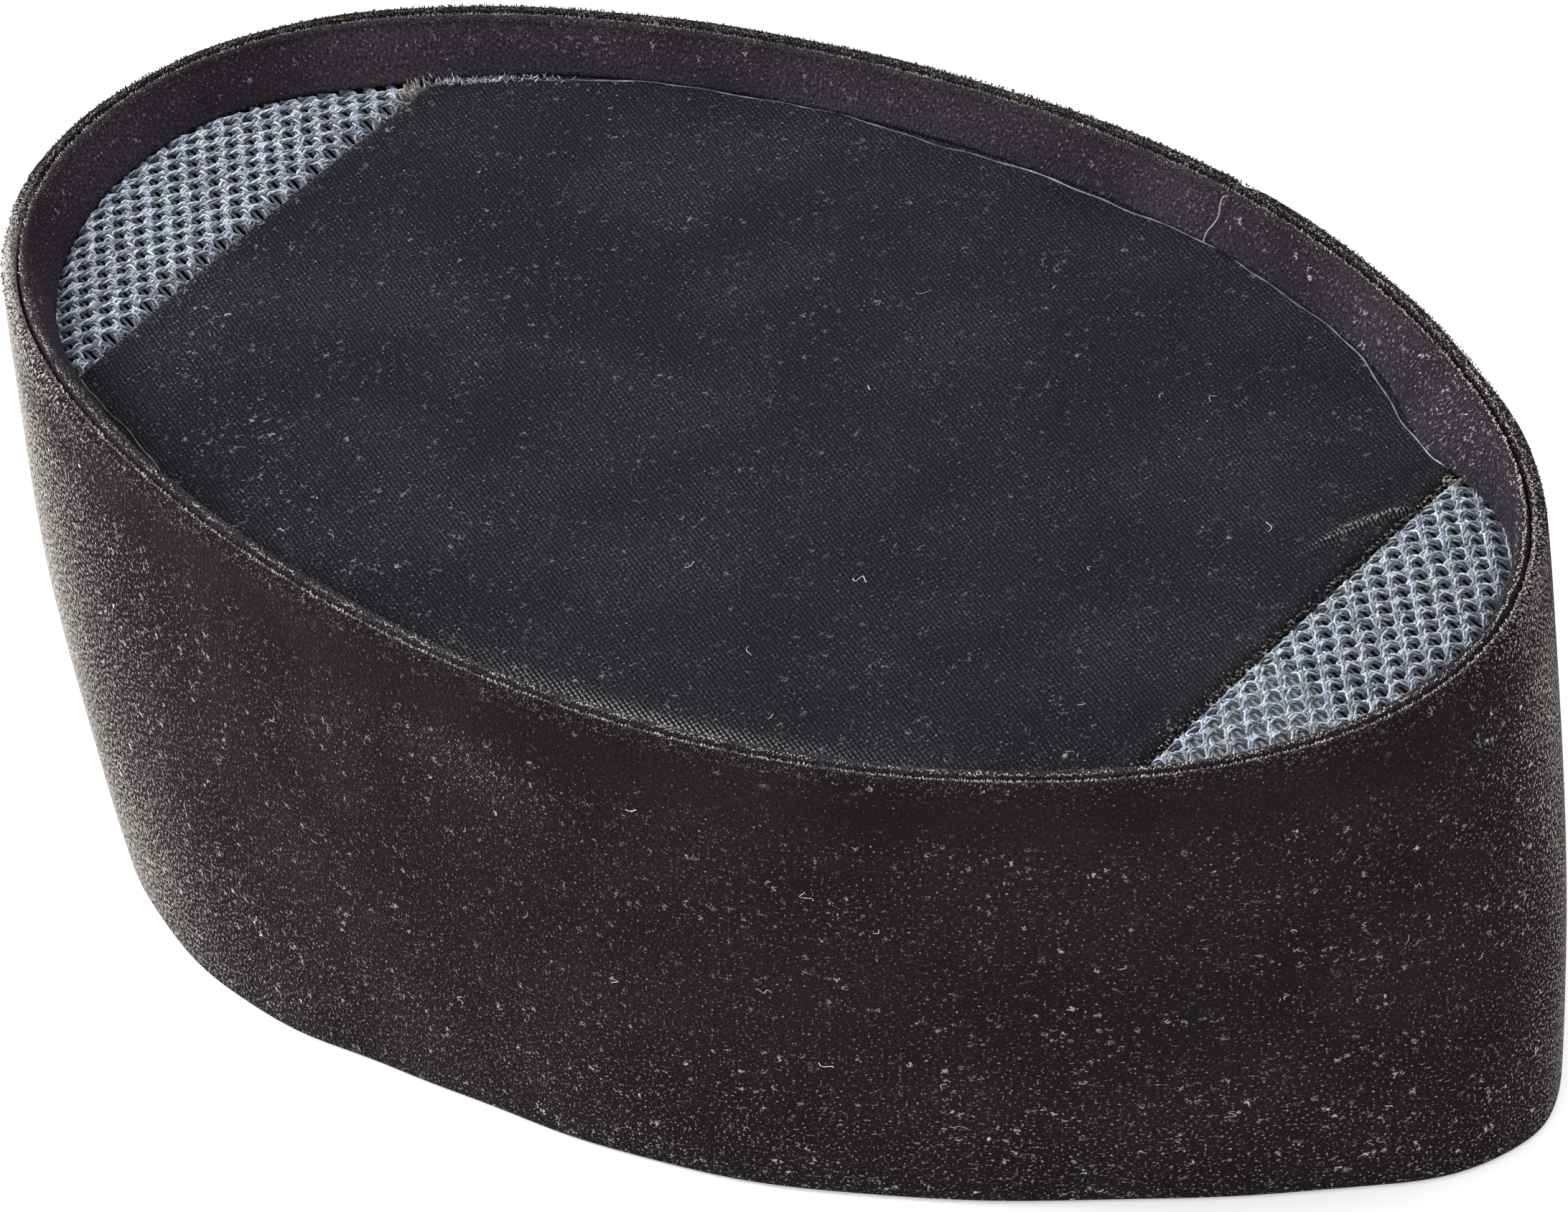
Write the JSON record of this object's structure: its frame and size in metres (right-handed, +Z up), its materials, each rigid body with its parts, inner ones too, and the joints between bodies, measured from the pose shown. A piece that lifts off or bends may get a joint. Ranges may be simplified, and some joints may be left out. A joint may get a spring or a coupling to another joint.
{
  "type": "songkok",
  "caption": "Stiff oval black velvet cap with upright sides, a crown sunk inside the top rim and a mesh vent at each end; worn on the head.",
  "frame": {"origin": "middle of the space that the hat takes up, on the surface that its bottom edge stands on", "axes": "+Y towards the rear of the hat, -Y towards its front, +X the wearer's left side, +Z up"},
  "size_m": [0.1388, 0.2402, 0.0787],
  "materials": {
    "band_velvet": "black cut-pile velvet with a warm grey sheen along its edges",
    "crown_velvet": "black velvet with a shorter pile and a faint diagonal ground",
    "vent_mesh": "blue-grey knitted air mesh with a soft glint on its strands"
  },
  "bodies": {
    "root": {"side_band": "band_velvet", "rim_facing": "band_velvet", "crown_panel": "crown_velvet", "vent_mesh_front": "vent_mesh", "vent_mesh_rear": "vent_mesh"}
  },
  "joints": []
}
